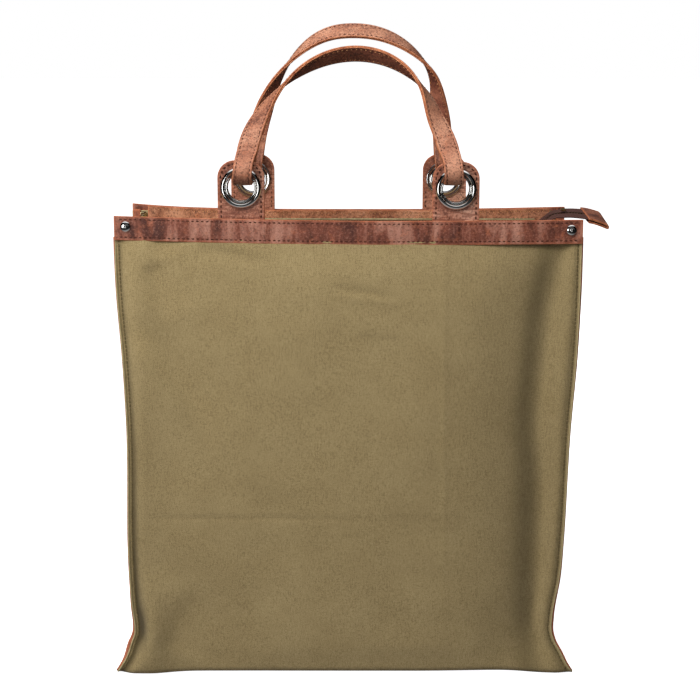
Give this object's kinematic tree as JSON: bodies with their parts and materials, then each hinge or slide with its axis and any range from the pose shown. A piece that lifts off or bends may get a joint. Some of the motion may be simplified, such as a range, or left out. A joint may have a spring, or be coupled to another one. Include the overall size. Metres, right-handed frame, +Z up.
{
  "type": "satchel bag",
  "caption": "Upright canvas shopper with leather side gussets, top bands, looped leather handles on grommets and a zip with a free tail.",
  "frame": {"origin": "middle of the base, on the floor", "axes": "+Z up, +X to the right seen from the front, -Y towards the front"},
  "size_m": [0.4477, 0.1331, 0.5914],
  "materials": {
    "canvas": "tight olive canvas",
    "facing_canvas": "olive canvas",
    "gusset_leather": "waxed brown leather with raw edges",
    "band_leather": "waxed, scuffed brown leather",
    "tab_leather": "waxed, scuffed brown leather",
    "strap_leather": "waxed, scuffed brown leather",
    "lining_leather": "waxed brown leather",
    "cap_leather": "waxed brown leather",
    "nickel": "polished nickel",
    "zip_tape": "dark brown woven tape",
    "zip_metal": "antique brass",
    "zip_slider_brass": "light brass"
  },
  "bodies": {
    "shell": {"canvas_front": "canvas", "canvas_back": "canvas", "canvas_bottom": "canvas", "gusset_left": "gusset_leather", "gusset_right": "gusset_leather", "band_front_outer": "band_leather", "band_front_inner": "band_leather", "band_back_outer": "band_leather", "band_back_inner": "band_leather", "tab_front_left_outer": "tab_leather", "tab_front_left_inner": "tab_leather", "tab_front_right_outer": "tab_leather", "tab_front_right_inner": "tab_leather", "tab_back_left_outer": "tab_leather", "tab_back_left_inner": "tab_leather", "tab_back_right_outer": "tab_leather", "tab_back_right_inner": "tab_leather", "grommet_front_left": "nickel", "grommet_front_right": "nickel", "grommet_back_left": "nickel", "grommet_back_right": "nickel", "washer_front_left": "nickel", "washer_front_right": "nickel", "washer_back_left": "nickel", "washer_back_right": "nickel", "rivet_caps": "nickel", "rivet_posts": "nickel", "zip_facing_front": "facing_canvas", "zip_facing_back": "facing_canvas", "zip_tape_front": "zip_tape", "zip_tape_back": "zip_tape", "zip_teeth_front": "zip_metal", "zip_teeth_back": "zip_metal", "zip_top_stops": "zip_metal"},
    "front_handle": {"handle_front_strap": "strap_leather", "handle_front_lining": "lining_leather"},
    "back_handle": {"handle_back_strap": "strap_leather", "handle_back_lining": "lining_leather"},
    "zip_runner": {"zip_slider": "zip_slider_brass"},
    "zip_pull": {"zip_puller": "zip_slider_brass"},
    "zip_tail": {"zip_tail_tapes": "zip_tape", "zip_tail_teeth": "zip_metal", "zip_tail_stop": "zip_metal", "zip_tail_cap": "cap_leather"}
  },
  "joints": [
    {"name": "front_handle_swing", "type": "hinge", "parent": "shell", "child": "front_handle", "pos_m": [0, -0.05473, 0.462], "axis": [1, 0, 0], "range_deg": [0, 180]},
    {"name": "back_handle_swing", "type": "hinge", "parent": "shell", "child": "back_handle", "pos_m": [0, 0.05473, 0.462], "axis": [-1, 0, 0], "range_deg": [0, 158]},
    {"name": "zip_slide", "type": "slide", "parent": "shell", "child": "zip_runner", "axis": [1, 0, 0], "range_m": [0, 0.336]},
    {"name": "zip_pull_swing", "type": "hinge", "parent": "zip_runner", "child": "zip_pull", "pos_m": [-0.186, 0, 0.4172], "axis": [0, 1, 0], "range_deg": [0, 185]},
    {"name": "zip_tail_flex", "type": "hinge", "parent": "shell", "child": "zip_tail", "pos_m": [0.172, 0, 0.4138], "axis": [0, -1, 0], "range_deg": [0, 75]}
  ]
}
